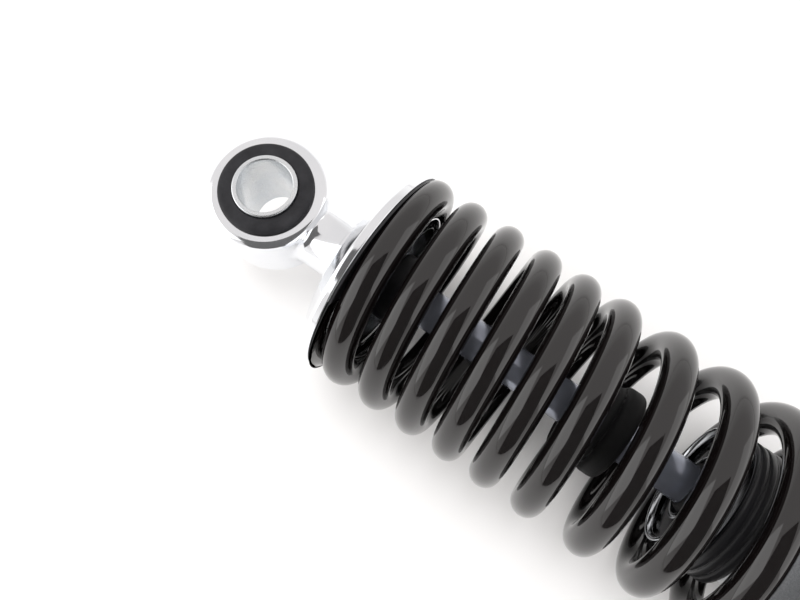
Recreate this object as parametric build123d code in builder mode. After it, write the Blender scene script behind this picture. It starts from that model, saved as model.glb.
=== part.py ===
"""Rear shock absorber for a motorcycle: a coil spring over a twin-tube damper.

It lies along X. The origin is the centre of the upper eye, +X points to the lower eye, and both eye
bores are along Z. Lengths are in millimetres and every place along the shock is an x value.
"""
import math
import os

from build123d import *

os.makedirs("parts", exist_ok=True)

# ---- driving sizes: travel, spring and rod ------------------------------------------------
travel = 68.0  # how far the rod slides into the damper
rod_diameter = 12.0
spring_outer_diameter = 66.0
wire_diameter = 9.0
tight_turns = 5
tight_pitch = 12.35
open_turns = 8
closed_gap = 0.15  # between the last turn and the one it lies against
first_turn_x = 43.0  # centre of the wire where the tight turns begin
ground_depth = 0.5  # how far the flat end faces cut into the last whole turn
wire_end_turns = 0.9  # length of each closed end, in turns
tight_start_turn = 0.25  # where round the shock the tight turns begin, in turns from the +Y side

# ---- eyes, bushes and sleeves -------------------------------------------------------------
eye_outer_diameter = 36.0
eye_width = 22.0
eye_edge_round = 2.5
bush_diameter = 28.0
bush_width = 26.0
bush_bevel = 1.6
sleeve_diameter = 19.0
sleeve_bore = 16.0
sleeve_length = 28.0
sleeve_bevel = 0.5

# ---- upper mount: neck, cap and nut -------------------------------------------------------
neck_diameter = 19.0
neck_end_x = 26.5
neck_round = 3.0
neck_flare = 1.5  # length over which the neck widens to the shoulder
shoulder_diameter = 28.0
shoulder_x = 31.5  # the shoulder's face, against which the cap stands
rod_thread_diameter = 10.0
rod_thread_depth = 11.0
thread_bevel = 0.8
cap_crown_diameter = 50.0
cap_plate = 2.0
cap_rim_height = 2.0
cap_crown_bevel = 1.5  # radial width of the turned edge round the crown
cap_crown_edge = 0.8  # its length along the shock
cap_rim_inset = 0.5  # the rim stands inside the spring's outside by this
seat_washer_thickness = 0.7
seat_washer_inset = 1.0  # a washer stands inside the spring's outside by this
spigot_length = 7.0
spigot_wall = 3.4
spigot_gap = 0.6  # between a spigot and the spring's inside
nut_flats = 17.0
nut_height = 10.0
nut_corner_bevel = 0.8

# ---- bump stop ----------------------------------------------------------------------------
bump_seat_height = 11.5
bump_seat_flange = 3.0
bump_seat_hub_diameter = 21.0
bump_diameter = 27.0
bump_length = 16.0
bump_waist_depth = 1.5
bump_waist_width = 6.0  # at the surface
bump_waist_floor = 2.0  # at the bottom of the waist
bump_round = 2.5
bump_park_gap = 20.0  # between the parked bump stop and the damper's head
stop_clearance = 1.0  # left at each end of the bump stop at full travel

# ---- damper body --------------------------------------------------------------------------
tube_diameter = 34.0
tube_wall = 1.5
head_rim_overhang = 1.5  # the rim stands out from the tube by this
head_rim_width = 1.8
head_recess = 2.2
head_plate = 2.0
head_skirt_length = 4.0
head_rim_round = 0.8
head_lip = 0.6  # height and width of the raised ring round the wiper
wiper_wall = 2.56  # from the rod's running bore out to the head's hole
wiper_recess = 0.6  # depth of the wiper's shoulder below the head's face
wiper_lip_reach = 1.6
wiper_lip_wall = 0.6
wiper_lip_root = 1.8
seal_height = 5.0
guide_flange_height = 6.8
guide_spigot_length = 9.0
guide_bush_wall = 1.5
guide_bush_inset = 1.0
o_ring_cord = 1.6
o_ring_inset = 2.3
pressure_tube_bore = 24.0
pressure_tube_wall = 1.2
guide_ring_wall = 2.8
guide_ring_length = 8.0
guide_ring_rib_depth = 0.4
guide_ring_ribs = 3
guide_ring_rib_slope = 0.25  # share of a rib's pitch that each of its flanks takes

# ---- piston -------------------------------------------------------------------------------
piston_thread_diameter = 8.0
top_out_gap = 0.5
top_out_length = 8.0
top_out_diameter = 20.0
stop_plate_thickness = 1.5
stop_plate_diameter = 18.0
shim_thickness = 0.3
shim_diameters = (21.0, 18.0, 15.0)
piston_height = 12.0
piston_band_height = 6.0
piston_band_depth = 1.3
piston_port_count = 6
piston_port_diameter = 2.6
piston_port_circle = 15.0
piston_nut_flats = 13.0
piston_nut_height = 6.5
rod_tip = 1.5

# ---- foot valve and base ------------------------------------------------------------------
bottom_clearance = 2.8  # between the rod's tip at full travel and the foot valve's bolt
valve_bolt_head_height = 2.2
valve_bolt_head_flats = 8.0
valve_bolt_diameter = 4.0
valve_bolt_bevel = 0.4
check_disc_thickness = 0.8
check_disc_diameter = 20.0
valve_spigot_length = 5.2
valve_flange_height = 7.0
valve_foot_slots = 4
valve_foot_slot_width = 3.0
valve_foot_slot_depth = 2.5
valve_port_count = 8
valve_port_diameter = 2.4
valve_port_circle = 14.0
base_plug_length = 4.0
base_plate = 3.0
lower_neck_diameter = 20.0
lower_neck_flare = 30.0
lower_neck_flare_length = 5.0
lower_neck_foot = 1.5  # height of the flare's straight foot
lower_eye_from_base = 39.2

# ---- lower spring seat --------------------------------------------------------------------
seat_to_base = 45.5  # from the spring's lower face to the base's outer face
seat_plate = 3.0
seat_lip_height = 3.0
seat_lip_wall = 2.0
seat_hub_length = 9.0
seat_hub_wall = 5.0
seat_hub_flare = 2.0
seat_lip_edge = 0.6
seat_back_bevel = 1.5
stop_ring_thickness = 2.5
stop_ring_overhang = 3.0  # the ring stands out from the tube by this
stop_ring_groove = 0.6

# ---- bevels that break the free edges of turned pieces ------------------------------------
edge_bevel = 1.0
fine_bevel = 0.5

# ---- clearances ---------------------------------------------------------------------------
running = 0.04  # radial, between pieces that slide or turn on each other
seat_running = 0.3  # radial, where a plain washer turns round a spigot

# ---- radii and places worked out from the sizes above -------------------------------------
rod_r = rod_diameter / 2
rod_thread_r = rod_thread_diameter / 2
piston_thread_r = piston_thread_diameter / 2
spring_r = spring_outer_diameter / 2
wire_r = wire_diameter / 2
coil_mean_r = spring_r - wire_r
spring_bore_r = spring_r - wire_diameter
spigot_r = spring_bore_r - spigot_gap
washer_r = spring_r - seat_washer_inset
tube_r = tube_diameter / 2
tube_bore_r = tube_r - tube_wall
pressure_bore_r = pressure_tube_bore / 2
pressure_tube_r = pressure_bore_r + pressure_tube_wall
sliding_bore_r = rod_r + running

closed_pitch = wire_diameter + closed_gap
spring_top_x = first_turn_x - wire_r + ground_depth
cap_face_x = spring_top_x - seat_washer_thickness
nut_x = shoulder_x + cap_plate
bump_seat_x = nut_x + nut_height
bump_seat_face_x = bump_seat_x + bump_seat_height
head_x = bump_seat_face_x + bump_length + travel + 2 * stop_clearance
bump_end_x = head_x - bump_park_gap
bump_x = bump_end_x - bump_length

head_face_x = head_x + head_recess
tube_x = head_face_x + head_plate
seal_end_x = tube_x + seal_height
guide_flange_end_x = seal_end_x + guide_flange_height
guide_end_x = guide_flange_end_x + guide_spigot_length
skirt_end_x = tube_x + head_skirt_length

top_out_x = guide_end_x + top_out_gap
rod_shoulder_x = top_out_x + top_out_length
plate_end_x = rod_shoulder_x + stop_plate_thickness
shim_pack = shim_thickness * len(shim_diameters)
piston_x = plate_end_x + shim_pack
piston_end_x = piston_x + piston_height
piston_nut_x = piston_end_x + shim_pack
rod_tip_x = piston_nut_x + piston_nut_height + rod_tip

valve_bolt_x = rod_tip_x + travel + bottom_clearance
check_disc_x = valve_bolt_x + valve_bolt_head_height
valve_x = check_disc_x + check_disc_thickness
valve_flange_x = valve_x + valve_spigot_length
valve_end_x = valve_flange_x + valve_flange_height
base_x = valve_end_x + base_plug_length
base_end_x = base_x + base_plate
lower_eye_x = base_end_x + lower_eye_from_base

spring_end_x = base_end_x - seat_to_base
seat_face_x = spring_end_x + seat_washer_thickness
seat_plate_end_x = seat_face_x + seat_plate
seat_hub_end_x = seat_face_x + seat_hub_length
open_turn_x = first_turn_x + tight_turns * tight_pitch
closed_turn_x = spring_end_x - wire_r + ground_depth
open_pitch = (closed_turn_x - open_turn_x) / open_turns
bind_travel = tight_turns * (tight_pitch - wire_diameter) + open_turns * (open_pitch - wire_diameter)


def turned(corners, mode=Mode.ADD):
    """Sweeps a closed outline of (x, radius) corners about the shock's axis."""
    with BuildSketch(Plane.XZ) as outline:
        with BuildLine():
            Polyline(*corners, close=True)
        make_face()
    revolve(outline.sketch, axis=Axis.X, mode=mode)


def collar(start_x, end_x, inner_r, outer_r, mode=Mode.ADD):
    """A plain ring about the shock's axis, between two places along it."""
    turned([(start_x, inner_r), (end_x, inner_r), (end_x, outer_r), (start_x, outer_r)], mode)


def hexagon(start_x, height, flats, hole_r, bevel):
    """A hexagon nut with a plain hole and its corners turned off at both faces."""
    with BuildSketch(Plane.YZ.offset(start_x)) as outline:
        RegularPolygon(radius=flats / 2, side_count=6, major_radius=False)
        Circle(hole_r, mode=Mode.SUBTRACT)
    extrude(outline.sketch, amount=height)
    corner_r = flats / math.sqrt(3)
    end_x = start_x + height
    slope = bevel / 2
    turned(
        [(start_x, 0), (end_x, 0), (end_x, corner_r - bevel), (end_x - slope, corner_r),
         (start_x + slope, corner_r), (start_x, corner_r - bevel)],
        mode=Mode.INTERSECT,
    )


def disc_pack(start_x, diameters, hole_r):
    """Thin discs stacked face to face, one solid each, in the order of their diameters."""
    for number, diameter in enumerate(diameters):
        disc_x = start_x + number * shim_thickness
        collar(disc_x, disc_x + shim_thickness, hole_r, diameter / 2)


def eye_ring(centre_x, seam_angle):
    """The round ring of an eye; its seam line is turned to the side away from the neck."""
    with BuildSketch(Plane.XY) as outline:
        with Locations(Location((centre_x, 0, 0), (0, 0, seam_angle))):
            Circle(eye_outer_diameter / 2)
    extrude(outline.sketch, amount=eye_width / 2, both=True)


def eye_bore(centre_x):
    """Bores the eye for its rubber bush."""
    with BuildSketch(Plane.XY) as outline:
        with Locations((centre_x, 0)):
            Circle(bush_diameter / 2)
    extrude(outline.sketch, amount=eye_width, both=True, mode=Mode.SUBTRACT)


def upright_tube(centre_x, outer_diameter, bore, length, bevel):
    """A tube along Z, centred on an eye, with all of its outer edges bevelled."""
    outer_r = outer_diameter / 2
    half = length / 2
    with BuildSketch(Plane.XZ) as outline:
        with BuildLine():
            Polyline(
                (centre_x + bore / 2, -half), (centre_x + outer_r - bevel, -half),
                (centre_x + outer_r, bevel - half), (centre_x + outer_r, half - bevel),
                (centre_x + outer_r - bevel, half), (centre_x + bore / 2, half), close=True,
            )
        make_face()
    revolve(outline.sketch, axis=Axis((centre_x, 0, 0), (0, 0, 1)))


def rims(piece, beyond_r):
    """The round edges of a turned piece that are larger than a radius."""
    return piece.edges().filter_by(GeomType.CIRCLE).filter_by(lambda edge: edge.radius > beyond_r)


def save(piece, name):
    """Labels a finished piece and writes its file."""
    piece.part.label = name
    export_step(piece.part, f"parts/{name}.step")


# ---- upper eye: forged ring, neck and shoulder in one ------------------------------------
with BuildPart() as upper_eye:
    eye_ring(0, seam_angle=180)
    fillet(upper_eye.edges().filter_by(GeomType.CIRCLE), eye_edge_round)
    shoulder_r = shoulder_diameter / 2
    turned([(0, 0), (shoulder_x, 0), (shoulder_x, shoulder_r - edge_bevel),
            (shoulder_x - edge_bevel, shoulder_r), (neck_end_x + neck_flare, shoulder_r),
            (neck_end_x, neck_diameter / 2), (0, neck_diameter / 2)])
    fillet(upper_eye.edges().filter_by(GeomType.BSPLINE), neck_round)
    eye_bore(0)
    with BuildSketch(Plane.YZ.offset(shoulder_x)) as rod_hole:
        Circle(rod_thread_r)
    extrude(rod_hole.sketch, amount=-rod_thread_depth, mode=Mode.SUBTRACT)
save(upper_eye, "upper_eye")

with BuildPart() as lower_eye:
    eye_ring(lower_eye_x, seam_angle=0)
    fillet(lower_eye.edges().filter_by(GeomType.CIRCLE), eye_edge_round)
    turned([(base_end_x, 0), (base_end_x, lower_neck_flare / 2),
            (base_end_x + lower_neck_foot, lower_neck_flare / 2),
            (base_end_x + lower_neck_flare_length, lower_neck_diameter / 2),
            (lower_eye_x, lower_neck_diameter / 2), (lower_eye_x, 0)])
    fillet(lower_eye.edges().filter_by(GeomType.BSPLINE), neck_round)
    eye_bore(lower_eye_x)
save(lower_eye, "lower_eye")

# ---- rubber bushes and the steel sleeves that turn in them --------------------------------
for end, centre_x in (("upper", 0), ("lower", lower_eye_x)):
    with BuildPart() as bush:
        upright_tube(centre_x, bush_diameter, sleeve_diameter + 2 * running, bush_width, bush_bevel)
    save(bush, f"{end}_bush")
    with BuildPart() as sleeve:
        upright_tube(centre_x, sleeve_diameter, sleeve_bore, sleeve_length, sleeve_bevel)
    save(sleeve, f"{end}_sleeve")

# ---- top cap: a turned cup that the spring pushes against ---------------------------------
cap_crown_r = cap_crown_diameter / 2
cap_rim_r = spring_r - cap_rim_inset
cap_rim_x = cap_face_x - cap_rim_height
spigot_end_x = cap_face_x + spigot_length
with BuildPart() as top_cap:
    turned([(shoulder_x, rod_thread_r), (shoulder_x, cap_crown_r - cap_crown_bevel),
            (shoulder_x + cap_crown_edge, cap_crown_r), (cap_rim_x - fine_bevel, cap_rim_r - fine_bevel),
            (cap_rim_x, cap_rim_r), (cap_face_x - fine_bevel, cap_rim_r),
            (cap_face_x, cap_rim_r - fine_bevel), (cap_face_x, spigot_r),
            (spigot_end_x - edge_bevel, spigot_r), (spigot_end_x, spigot_r - edge_bevel),
            (spigot_end_x, spigot_r - spigot_wall), (nut_x, spigot_r - spigot_wall), (nut_x, rod_thread_r)])
save(top_cap, "top_cap")

with BuildPart() as upper_seat_washer:
    collar(cap_face_x, spring_top_x, spigot_r + seat_running, washer_r)
save(upper_seat_washer, "upper_seat_washer")

with BuildPart() as rod_lock_nut:
    hexagon(nut_x, nut_height, nut_flats, rod_thread_r, nut_corner_bevel)
save(rod_lock_nut, "rod_lock_nut")

# ---- bump stop and its seat ---------------------------------------------------------------
with BuildPart() as bump_stop_seat:
    flange_x = bump_seat_face_x - bump_seat_flange
    turned([(bump_seat_x, rod_r), (bump_seat_x, bump_seat_hub_diameter / 2),
            (flange_x - edge_bevel, bump_seat_hub_diameter / 2), (flange_x, bump_diameter / 2),
            (bump_seat_face_x, bump_diameter / 2), (bump_seat_face_x, rod_r)])
save(bump_stop_seat, "bump_stop_seat")

with BuildPart() as bump_stop:
    bump_r = bump_diameter / 2
    collar(bump_x, bump_end_x, sliding_bore_r, bump_r)
    fillet(rims(bump_stop, rod_r + running), bump_round)
    waist_x = (bump_x + bump_end_x) / 2
    waist_mouth = bump_waist_width / 2
    waist_floor = bump_waist_floor / 2
    turned([(waist_x - waist_mouth, bump_r), (waist_x - waist_floor, bump_r - bump_waist_depth),
            (waist_x + waist_floor, bump_r - bump_waist_depth), (waist_x + waist_mouth, bump_r),
            (waist_x, bump_r + bump_waist_depth)], mode=Mode.SUBTRACT)
save(bump_stop, "bump_stop")

# ---- piston rod: hard-chromed bar with a thread at each end -------------------------------
rod_x = shoulder_x - rod_thread_depth
with BuildPart() as piston_rod:
    turned([(rod_x, 0), (rod_x, rod_thread_r - thread_bevel), (rod_x + thread_bevel, rod_thread_r),
            (bump_seat_x, rod_thread_r), (bump_seat_x, rod_r), (rod_shoulder_x, rod_r),
            (rod_shoulder_x, piston_thread_r), (rod_tip_x - thread_bevel, piston_thread_r),
            (rod_tip_x, piston_thread_r - thread_bevel), (rod_tip_x, 0)])
save(piston_rod, "piston_rod")

# ---- piston and what is clamped to it -----------------------------------------------------
with BuildPart() as top_out_collar:
    collar(top_out_x, rod_shoulder_x, rod_r, top_out_diameter / 2)
    chamfer(rims(top_out_collar, rod_r), edge_bevel)
save(top_out_collar, "top_out_collar")

with BuildPart() as rebound_stop_plate:
    collar(rod_shoulder_x, plate_end_x, piston_thread_r, stop_plate_diameter / 2)
save(rebound_stop_plate, "rebound_stop_plate")

with BuildPart() as rebound_shims:
    disc_pack(plate_end_x, shim_diameters[::-1], piston_thread_r)
save(rebound_shims, "rebound_shims")

piston_r = pressure_bore_r - 2 * running
band_x = piston_x + (piston_height - piston_band_height) / 2
with BuildPart() as piston:
    collar(piston_x, piston_end_x, piston_thread_r, piston_r)
    collar(band_x, band_x + piston_band_height, pressure_bore_r - piston_band_depth, pressure_bore_r,
           mode=Mode.SUBTRACT)
    with BuildSketch(Plane.YZ.offset(piston_x)) as ports:
        with PolarLocations(piston_port_circle / 2, piston_port_count):
            Circle(piston_port_diameter / 2)
    extrude(ports.sketch, amount=piston_height, mode=Mode.SUBTRACT)
save(piston, "piston")

with BuildPart() as piston_band:
    collar(band_x, band_x + piston_band_height, pressure_bore_r - piston_band_depth,
           pressure_bore_r - running)
save(piston_band, "piston_band")

with BuildPart() as compression_shims:
    disc_pack(piston_end_x, shim_diameters, piston_thread_r)
save(compression_shims, "compression_shims")

with BuildPart() as piston_nut:
    hexagon(piston_nut_x, piston_nut_height, piston_nut_flats, piston_thread_r, nut_corner_bevel)
save(piston_nut, "piston_nut")

# ---- coil spring: closed and ground ends, five tight turns, then open ones ----------------
def coil_run(start_x, start_turn, turns, pitch):
    """Sweeps the wire along one run of even pitch; whole turns lie on the +Y side."""
    angle = math.radians(360 * start_turn)
    outward = Vector(0, math.cos(angle), math.sin(angle))
    along = Vector(0, -math.sin(angle), math.cos(angle))
    centre = Vector(start_x, 0, 0)
    helix = Helix(pitch=pitch, height=turns * pitch, radius=coil_mean_r, mode=Mode.PRIVATE)
    run_frame = Plane(origin=centre, x_dir=outward, z_dir=(1, 0, 0))
    wire_plane = Plane(origin=centre + outward * coil_mean_r, x_dir=(1, 0, 0), z_dir=along)
    with BuildSketch(wire_plane) as wire:
        Circle(wire_r)
    sweep(wire.sketch, path=run_frame.location * helix, is_frenet=True)


wire_start_x = first_turn_x - wire_end_turns * closed_pitch
open_start_turn = tight_start_turn + tight_turns
closed_start_turn = open_start_turn + open_turns
with BuildPart() as coil_spring:
    coil_run(wire_start_x, tight_start_turn - wire_end_turns, wire_end_turns, closed_pitch)
    coil_run(first_turn_x, tight_start_turn, tight_turns, tight_pitch)
    coil_run(open_turn_x, open_start_turn, open_turns, open_pitch)
    coil_run(closed_turn_x, closed_start_turn, wire_end_turns, closed_pitch)
    split(bisect_by=Plane(origin=(spring_top_x, 0, 0), z_dir=(1, 0, 0)), keep=Keep.TOP)
    split(bisect_by=Plane(origin=(spring_end_x, 0, 0), z_dir=(1, 0, 0)), keep=Keep.BOTTOM)
save(coil_spring, "coil_spring")

# ---- damper head --------------------------------------------------------------------------
head_r = tube_r + head_rim_overhang
rim_inner_r = head_r - head_rim_width
wiper_r = sliding_bore_r + wiper_wall
with BuildPart() as head_cap:
    turned([(head_x + head_rim_round, head_r), (head_x, head_r - head_rim_round),
            (head_x, rim_inner_r + fine_bevel), (head_x + fine_bevel, rim_inner_r),
            (head_face_x, rim_inner_r - fine_bevel), (head_face_x, wiper_r + 2 * head_lip),
            (head_face_x - head_lip, wiper_r + head_lip), (head_face_x - head_lip, wiper_r),
            (tube_x, wiper_r), (tube_x, tube_r), (skirt_end_x, tube_r),
            (skirt_end_x, head_r - fine_bevel), (skirt_end_x - fine_bevel, head_r)])
save(head_cap, "head_cap")

wiper_shoulder_x = head_face_x + wiper_recess
wiper_lip_x = head_face_x - wiper_lip_reach
with BuildPart() as dust_wiper:
    turned([(wiper_lip_x, sliding_bore_r), (wiper_lip_x, sliding_bore_r + wiper_lip_wall),
            (wiper_shoulder_x, sliding_bore_r + wiper_lip_root), (wiper_shoulder_x, wiper_r),
            (tube_x, wiper_r), (tube_x, sliding_bore_r)])
save(dust_wiper, "dust_wiper")

with BuildPart() as oil_seal:
    collar(tube_x, seal_end_x, sliding_bore_r, tube_bore_r)
save(oil_seal, "oil_seal")

groove_x = seal_end_x + o_ring_inset
bush_outer_r = sliding_bore_r + guide_bush_wall
with BuildPart() as rod_guide:
    turned([(seal_end_x, bush_outer_r), (seal_end_x, tube_bore_r), (groove_x, tube_bore_r),
            (groove_x, tube_bore_r - o_ring_cord), (groove_x + o_ring_cord, tube_bore_r - o_ring_cord),
            (groove_x + o_ring_cord, tube_bore_r), (guide_flange_end_x, tube_bore_r),
            (guide_flange_end_x, pressure_bore_r), (guide_end_x, pressure_bore_r),
            (guide_end_x, bush_outer_r)])
save(rod_guide, "rod_guide")

with BuildPart() as guide_bush:
    collar(seal_end_x + guide_bush_inset, guide_end_x - guide_bush_inset, sliding_bore_r, bush_outer_r)
save(guide_bush, "guide_bush")

with BuildPart() as body_o_ring:
    with BuildSketch(Plane.XZ) as cord:
        with Locations((groove_x + o_ring_cord / 2, tube_bore_r - o_ring_cord / 2)):
            Circle(o_ring_cord / 2)
    revolve(cord.sketch, axis=Axis.X)
save(body_o_ring, "body_o_ring")

# ---- tubes --------------------------------------------------------------------------------
groove_end_x = seat_hub_end_x + stop_ring_thickness
with BuildPart() as damper_tube:
    turned([(tube_x, tube_bore_r), (tube_x, tube_r), (seat_hub_end_x, tube_r),
            (seat_hub_end_x, tube_r - stop_ring_groove), (groove_end_x, tube_r - stop_ring_groove),
            (groove_end_x, tube_r), (base_x, tube_r), (base_x, tube_bore_r)])
save(damper_tube, "damper_tube")

with BuildPart() as pressure_tube:
    collar(guide_flange_end_x, valve_flange_x, pressure_bore_r, pressure_tube_r)
save(pressure_tube, "pressure_tube")

# ---- ribbed plastic ring that keeps the spring off the tube -------------------------------
guide_ring_r = tube_r + guide_ring_wall
guide_ring_end_x = skirt_end_x + guide_ring_length
groove_r = guide_ring_r - guide_ring_rib_depth
rib_pitch = guide_ring_length / guide_ring_ribs
flank = guide_ring_rib_slope * rib_pitch
with BuildPart() as spring_guide_ring:
    ring_outline = [(guide_ring_end_x, tube_r), (skirt_end_x, tube_r)]
    for rib in range(guide_ring_ribs):
        rib_x = skirt_end_x + rib * rib_pitch
        ring_outline.append((rib_x, groove_r))
        ring_outline.append((rib_x + flank, guide_ring_r))
        ring_outline.append((rib_x + rib_pitch - flank, guide_ring_r))
    ring_outline.append((guide_ring_end_x, groove_r))
    turned(ring_outline)
save(spring_guide_ring, "spring_guide_ring")

# ---- foot valve and base ------------------------------------------------------------------
valve_bolt_r = valve_bolt_diameter / 2
with BuildPart() as foot_valve:
    turned([(valve_x, valve_bolt_r), (valve_x, pressure_bore_r), (valve_flange_x, pressure_bore_r),
            (valve_flange_x, tube_bore_r), (valve_end_x, tube_bore_r), (valve_end_x, valve_bolt_r)])
    with BuildSketch(Plane.YZ.offset(valve_x)) as valve_ports:
        with PolarLocations(valve_port_circle / 2, valve_port_count):
            Circle(valve_port_diameter / 2)
    extrude(valve_ports.sketch, amount=valve_end_x - valve_x, mode=Mode.SUBTRACT)
    with BuildSketch(Plane.YZ.offset(valve_end_x - valve_foot_slot_depth)) as foot_slots:
        with PolarLocations(0, valve_foot_slots // 2, angular_range=180):
            Rectangle(tube_diameter, valve_foot_slot_width)
    extrude(foot_slots.sketch, amount=valve_foot_slot_depth, mode=Mode.SUBTRACT)
save(foot_valve, "foot_valve")

with BuildPart() as check_disc:
    collar(check_disc_x, valve_x, valve_bolt_r, check_disc_diameter / 2)
save(check_disc, "check_disc")

with BuildPart() as foot_valve_bolt:
    hexagon(valve_bolt_x, valve_bolt_head_height, valve_bolt_head_flats, valve_bolt_r, valve_bolt_bevel)
    collar(valve_bolt_x, valve_end_x, 0, valve_bolt_r)
save(foot_valve_bolt, "foot_valve_bolt")

with BuildPart() as base_cap:
    turned([(valve_end_x, 0), (valve_end_x, tube_bore_r), (base_x, tube_bore_r), (base_x, tube_r),
            (base_end_x - edge_bevel, tube_r), (base_end_x, tube_r - edge_bevel), (base_end_x, 0)])
save(base_cap, "base_cap")

# ---- lower spring seat --------------------------------------------------------------------
seat_dish_r = spring_r + closed_gap
seat_lip_r = seat_dish_r + seat_lip_wall
seat_lip_x = seat_face_x - seat_lip_height
seat_spigot_x = seat_face_x - spigot_length
seat_hub_r = tube_r + seat_hub_wall
with BuildPart() as lower_seat_washer:
    collar(spring_end_x, seat_face_x, spigot_r + seat_running, washer_r)
save(lower_seat_washer, "lower_seat_washer")

with BuildPart() as lower_spring_seat:
    turned([(seat_spigot_x, tube_r), (seat_spigot_x, spigot_r - edge_bevel),
            (seat_spigot_x + edge_bevel, spigot_r), (seat_face_x, spigot_r), (seat_face_x, seat_dish_r),
            (seat_lip_x, seat_dish_r), (seat_lip_x, seat_lip_r - seat_lip_edge),
            (seat_lip_x + seat_lip_edge, seat_lip_r), (seat_plate_end_x - seat_back_bevel, seat_lip_r),
            (seat_plate_end_x, seat_lip_r - seat_back_bevel),
            (seat_plate_end_x, seat_hub_r + seat_hub_flare), (seat_plate_end_x + seat_hub_flare, seat_hub_r),
            (seat_hub_end_x - edge_bevel, seat_hub_r),
            (seat_hub_end_x, seat_hub_r - edge_bevel), (seat_hub_end_x, tube_r)])
save(lower_spring_seat, "lower_spring_seat")

with BuildPart() as seat_stop_ring:
    collar(seat_hub_end_x, groove_end_x, tube_r - stop_ring_groove, tube_r + stop_ring_overhang)
    chamfer(rims(seat_stop_ring, tube_r), fine_bevel)
save(seat_stop_ring, "seat_stop_ring")

print(f"eye to eye {lower_eye_x:.2f}, open pitch {open_pitch:.2f}")
print(f"travel {travel:.1f}, coil bind at {bind_travel:.1f}")
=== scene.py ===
"""The finished look of a motorcycle's rear shock absorber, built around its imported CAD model.

Everything is in metres and in the CAD model's frame: +X runs from the upper eye to the lower eye, and both
eye bores are along Z. The sections follow the shock as it is put together, from the upper eye down.
"""
import math

import bmesh
import bpy
import numpy as np
from mathutils import Matrix, Vector


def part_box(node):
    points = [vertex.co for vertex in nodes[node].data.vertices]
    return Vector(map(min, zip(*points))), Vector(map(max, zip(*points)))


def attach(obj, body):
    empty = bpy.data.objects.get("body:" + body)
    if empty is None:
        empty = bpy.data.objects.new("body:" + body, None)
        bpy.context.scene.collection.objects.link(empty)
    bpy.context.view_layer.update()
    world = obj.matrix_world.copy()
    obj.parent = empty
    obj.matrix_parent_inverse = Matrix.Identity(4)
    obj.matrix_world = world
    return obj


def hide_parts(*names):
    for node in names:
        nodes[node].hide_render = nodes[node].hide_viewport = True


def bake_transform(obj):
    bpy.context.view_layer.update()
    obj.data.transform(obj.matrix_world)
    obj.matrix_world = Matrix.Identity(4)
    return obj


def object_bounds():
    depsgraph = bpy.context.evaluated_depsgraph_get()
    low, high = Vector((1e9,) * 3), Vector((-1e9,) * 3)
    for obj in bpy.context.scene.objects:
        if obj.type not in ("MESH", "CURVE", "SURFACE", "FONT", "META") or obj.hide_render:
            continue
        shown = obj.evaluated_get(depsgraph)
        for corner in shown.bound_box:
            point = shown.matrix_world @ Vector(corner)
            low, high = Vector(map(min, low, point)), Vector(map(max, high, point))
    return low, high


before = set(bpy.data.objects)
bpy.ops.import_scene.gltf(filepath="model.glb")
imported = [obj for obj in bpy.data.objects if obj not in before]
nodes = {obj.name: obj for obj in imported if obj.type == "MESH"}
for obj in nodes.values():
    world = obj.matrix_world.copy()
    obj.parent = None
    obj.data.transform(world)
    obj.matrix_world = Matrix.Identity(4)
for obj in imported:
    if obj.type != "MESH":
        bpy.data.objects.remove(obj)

cad_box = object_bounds()
mm = 0.001

# ---- upper and lower sleeve -----------------------------------------------------------------
# The steel tube that the mounting bolt clamps: drawn tube cut to length, its ends faced and bevelled,
# then zinc plated. It turns in the rubber bush.


def srgb(hex_colour):
    """An sRGB hex colour as linear RGBA.

    Each channel c from 0 to 1 becomes ((c + 0.055) / 1.055) ^ 2.4, or c / 12.92 where it is dark.
    """
    channels = np.array([int(hex_colour[i:i + 2], 16) for i in (0, 2, 4)]) / 255
    linear = np.where(channels > 0.04045, ((channels + 0.055) / 1.055) ** 2.4, channels / 12.92)
    return (*linear.tolist(), 1.0)


def new_material(name, **constants):
    """Makes a material with constants on its shader; gives it, the shader and its Object coordinates."""
    made = bpy.data.materials.new(name)
    made.use_nodes = True
    shader = made.node_tree.nodes["Principled BSDF"]
    for socket, value in constants.items():
        shader.inputs[socket.replace("_", " ")].default_value = value
    return made, shader, add(shader, "TexCoord", {}).outputs["Object"]


def add(shader, kind, sockets, **settings):
    """Adds one node beside a shader. A socket's entry is its value, or the output that feeds it."""
    tree = shader.id_data
    made = tree.nodes.new("ShaderNode" + kind)
    for setting, value in settings.items():
        setattr(made, setting, value)
    for socket, value in sockets.items():
        if isinstance(value, bpy.types.NodeSocket):
            tree.links.new(value, made.inputs[socket])
        else:
            made.inputs[socket].default_value = value
    return made


def feed(shader, **outputs):
    """Links outputs of other nodes to a shader's sockets."""
    for socket, output in outputs.items():
        shader.id_data.links.new(output, shader.inputs[socket.replace("_", " ")])


def skin(name, rings, closed):
    """Makes an object from rings of points, an array of ring by point by 3; each ring is closed on itself.

    Ring i is joined to ring i + 1, and the last to the first if closed; otherwise both end rings are capped.
    """
    count, size = rings.shape[:2]
    index = np.arange(count * size).reshape(count, size)
    rows = np.vstack([index, index[:1]]) if closed else index
    rows = np.hstack([rows, rows[:, :1]])
    quads = np.stack([rows[:-1, :-1], rows[1:, :-1], rows[1:, 1:], rows[:-1, 1:]], axis=-1).reshape(-1, 4)
    faces = quads.tolist()
    if not closed:
        faces += [index[0].tolist(), index[-1, ::-1].tolist()]
    mesh = bpy.data.meshes.new(name)
    mesh.from_pydata(rings.reshape(-1, 3).tolist(), [], faces)
    mesh.shade_smooth()
    made = bpy.data.objects.new(name, mesh)
    bpy.context.scene.collection.objects.link(made)
    return made


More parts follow.
